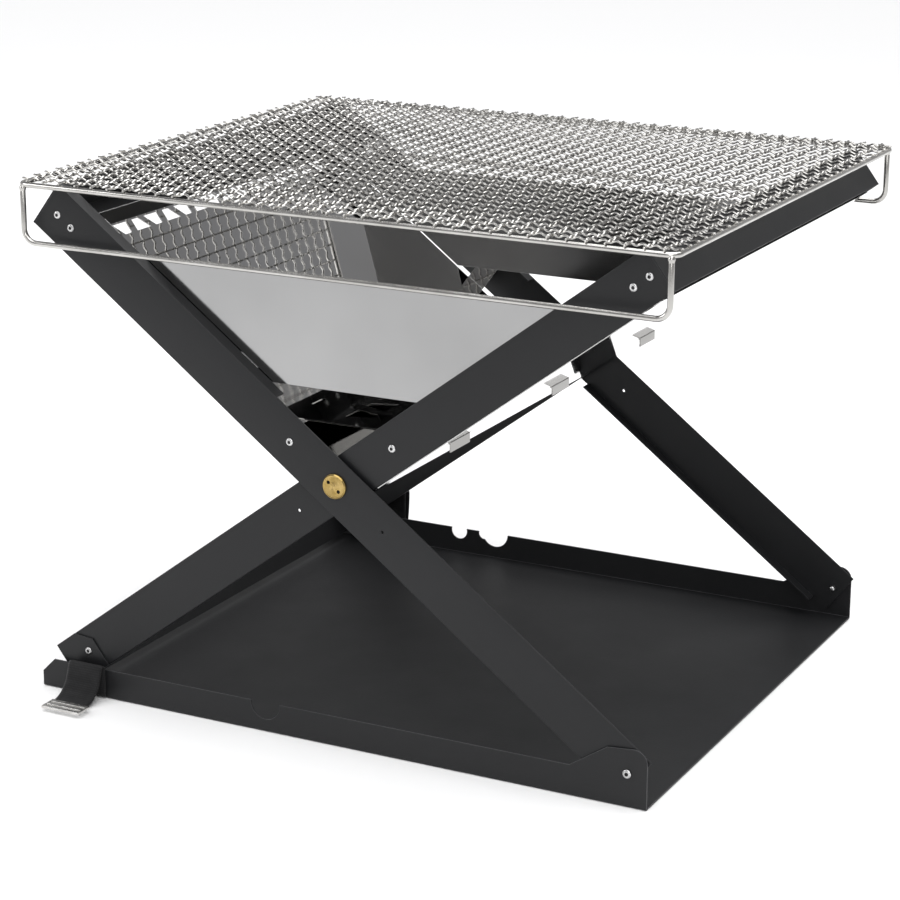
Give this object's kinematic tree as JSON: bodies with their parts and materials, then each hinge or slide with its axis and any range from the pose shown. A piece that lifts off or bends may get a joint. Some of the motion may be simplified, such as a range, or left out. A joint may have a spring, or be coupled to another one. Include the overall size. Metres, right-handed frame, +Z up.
{
  "type": "folding camp grill",
  "caption": "Folding fire-pit grill: scissor arms hinge on a flat ember tray and hold a V-shaped steel fire bowl under a lift-off woven wire grate with handle loops.",
  "frame": {"origin": "on the tray's underside, below the scissor pivots and half way between front and rear", "axes": "+X to the end where the outer arms hinge, +Y to the rear, +Z up"},
  "size_m": [0.6188, 0.58, 0.4728],
  "materials": {
    "black_powder_coat": "satin fine-textured black powder coat",
    "mirror_stainless": "mirror-bright stainless sheet with faint rolling lines",
    "satin_stainless": "bright-rolled stainless sheet, slightly hazy",
    "stainless_wire": "electropolished stainless wire",
    "brass": "turned face, polished",
    "webbing": "black woven nylon webbing",
    "buckle_steel": "bright nickel-plated steel",
    "rivet_steel": "bright blind rivets and fasteners",
    "spacer_nylon": "black nylon"
  },
  "bodies": {
    "base": {"base_tray": "black_powder_coat", "strap_front": "webbing", "strap_rear": "webbing", "strap_buckle": "buckle_steel", "strap_rivets": "rivet_steel", "foot_hinge_rivet_front": "rivet_steel", "foot_hinge_rivet_rear": "rivet_steel"},
    "outer_frame": {"outer_arm_front": "black_powder_coat", "outer_arm_rear": "black_powder_coat", "outer_crossbar": "black_powder_coat", "outer_frame_rivets": "rivet_steel", "guide_rivets": "rivet_steel", "left_bowl_panel": "mirror_stainless", "pivot_screw_front": "brass", "pivot_screw_rear": "brass", "pivot_nut_front": "rivet_steel", "pivot_nut_rear": "rivet_steel", "pivot_spacer_front": "spacer_nylon", "pivot_spacer_rear": "spacer_nylon"},
    "inner_frame": {"inner_arm_front": "black_powder_coat", "inner_arm_rear": "black_powder_coat", "inner_crossbar": "black_powder_coat", "inner_frame_rivets": "rivet_steel", "foot_crossbar": "black_powder_coat", "foot_rivets": "rivet_steel", "right_bowl_panel": "mirror_stainless", "right_panel_rivets": "rivet_steel", "stop_bracket_front": "black_powder_coat", "stop_bracket_rear": "black_powder_coat"},
    "front_wall": {"front_end_panel": "satin_stainless"},
    "rear_wall": {"rear_end_panel": "satin_stainless"},
    "ember_tray": {"ember_plate": "mirror_stainless"},
    "grate": {"grate_frame": "stainless_wire", "grate_mesh": "stainless_wire", "grate_handle_front": "stainless_wire", "grate_handle_rear": "stainless_wire"}
  },
  "joints": [
    {"name": "frame_fold", "type": "hinge", "parent": "base", "child": "outer_frame", "pos_m": [0.27411, 0, 0.0296], "axis": [0, -1, 0], "range_deg": [0, 32.5]},
    {"name": "scissor", "type": "hinge", "parent": "outer_frame", "child": "inner_frame", "pos_m": [0, 0, 0.23578], "axis": [0, 1, 0], "range_deg": [0, 65]},
    {"name": "front_wall_lift", "type": "slide", "parent": "inner_frame", "child": "front_wall", "axis": [0, 0, 1], "range_m": [0, 0.04]},
    {"name": "rear_wall_lift", "type": "slide", "parent": "inner_frame", "child": "rear_wall", "axis": [0, 0, 1], "range_m": [0, 0.04]},
    {"name": "ember_tilt", "type": "hinge", "parent": "inner_frame", "child": "ember_tray", "pos_m": [0.0902, 0, 0.2768], "axis": [0, 1, 0], "range_deg": [0, 45]},
    {"name": "grate_lift", "type": "slide", "parent": "base", "child": "grate", "axis": [0, 0, 1], "range_m": [0, 0.12]}
  ],
  "couplings": [
    {"joint": "scissor", "follows": "frame_fold", "ratio": 2}
  ]
}
